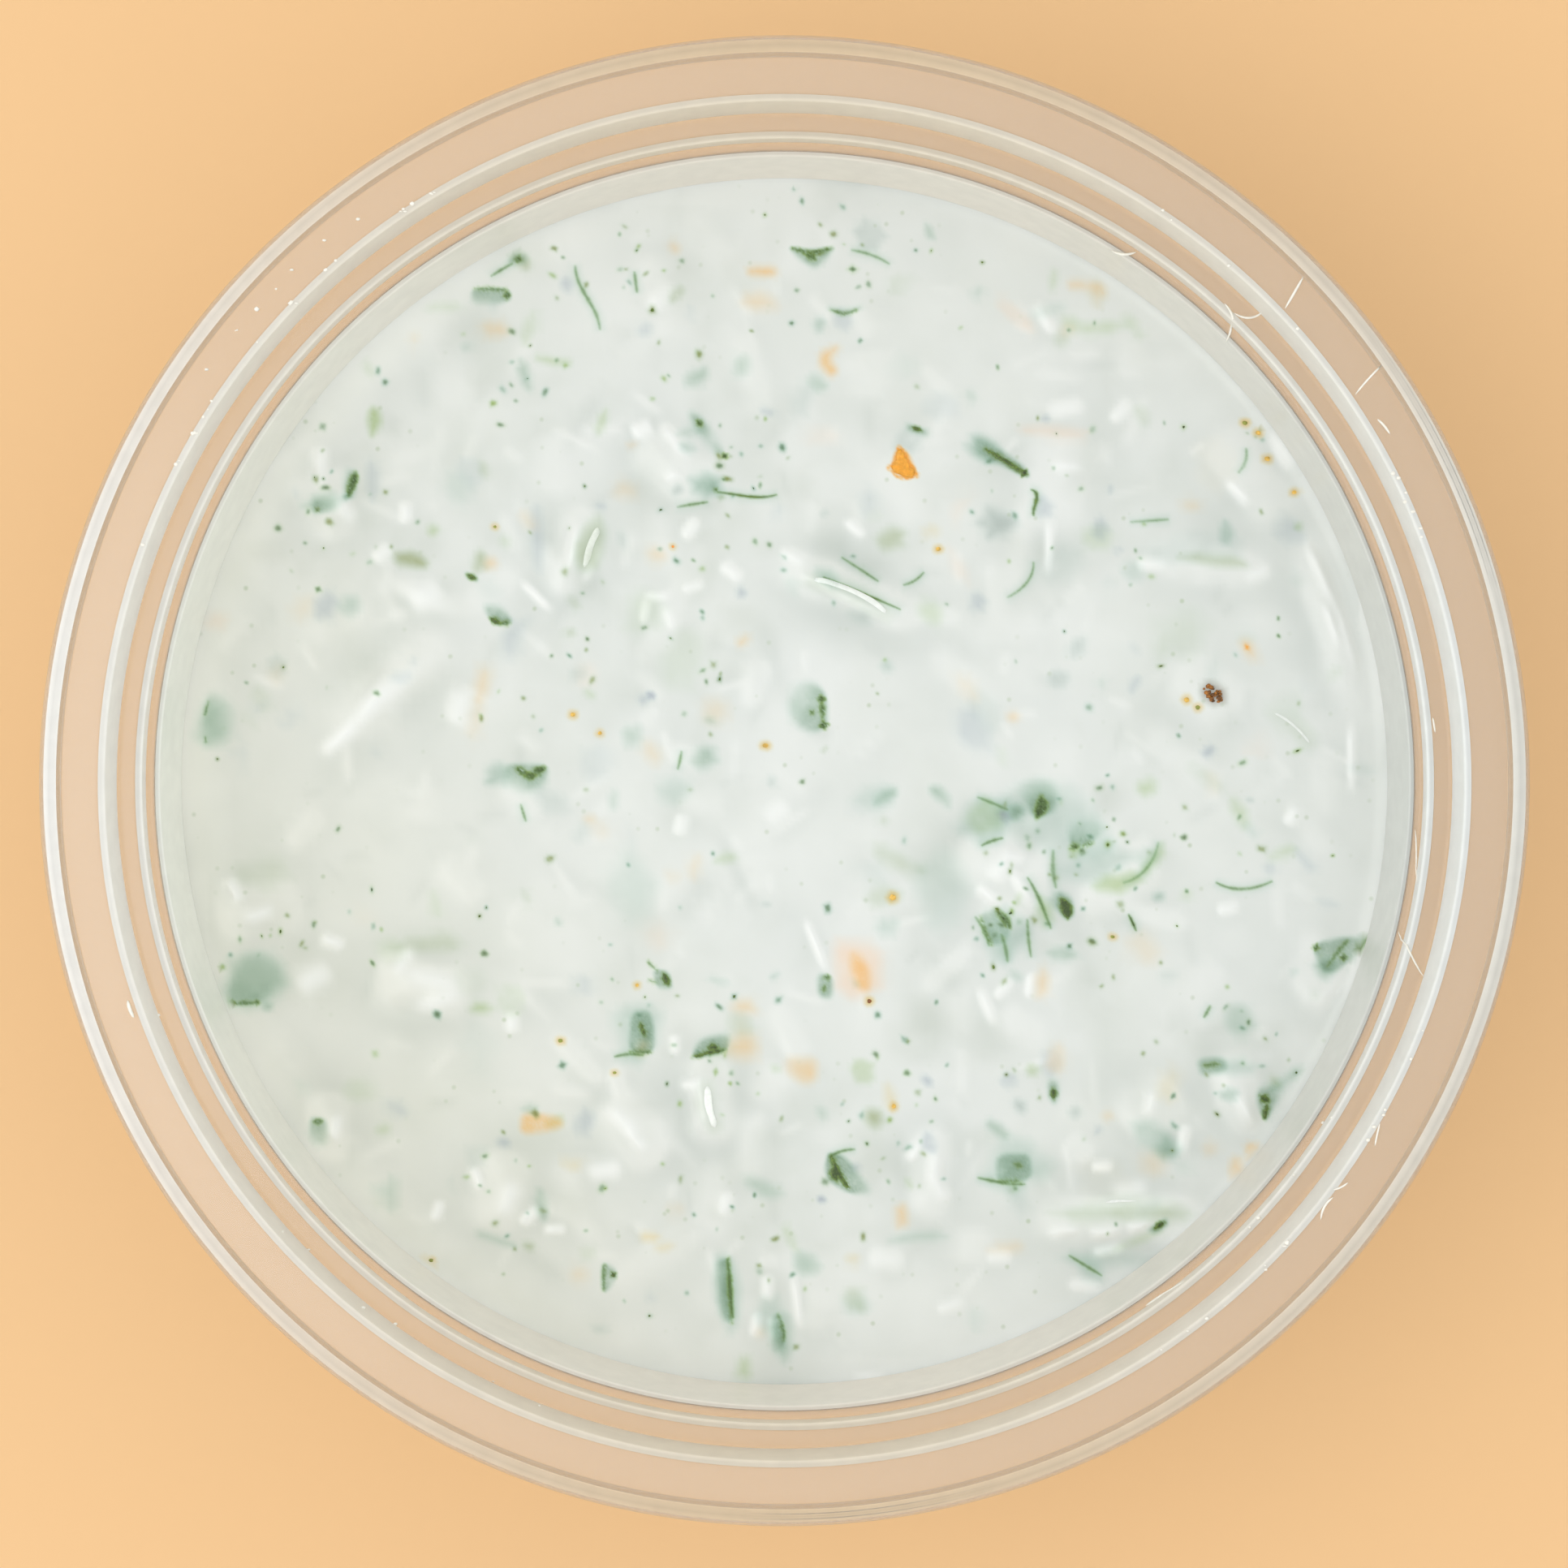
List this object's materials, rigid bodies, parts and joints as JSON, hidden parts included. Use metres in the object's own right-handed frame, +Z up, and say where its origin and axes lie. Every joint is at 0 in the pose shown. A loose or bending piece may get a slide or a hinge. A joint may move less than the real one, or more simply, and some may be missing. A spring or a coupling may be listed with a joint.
{
  "type": "tub of white herb sauce",
  "caption": "Round clear plastic tub with a stepped rim, filled with a thick white herb sauce flecked with chopped herbs, carrot and cucumber.",
  "frame": {"origin": "centre of the tub's flat base, on the surface it stands on", "axes": "+Z up out of the tub's mouth; +X to the right and +Y away from the viewer as the picture shows it from above"},
  "size_m": [0.117, 0.117, 0.045],
  "materials": {
    "clear_plastic": "clear, glossy, lightly scuffed",
    "sauce": "wet, glossy, cool white",
    "herb": "wet dark green leaf",
    "carrot": "wet orange",
    "cucumber": "wet pale green",
    "spice": "wet ochre"
  },
  "bodies": {
    "root": {"tub": "clear_plastic", "sauce": "sauce"}
  },
  "joints": []
}
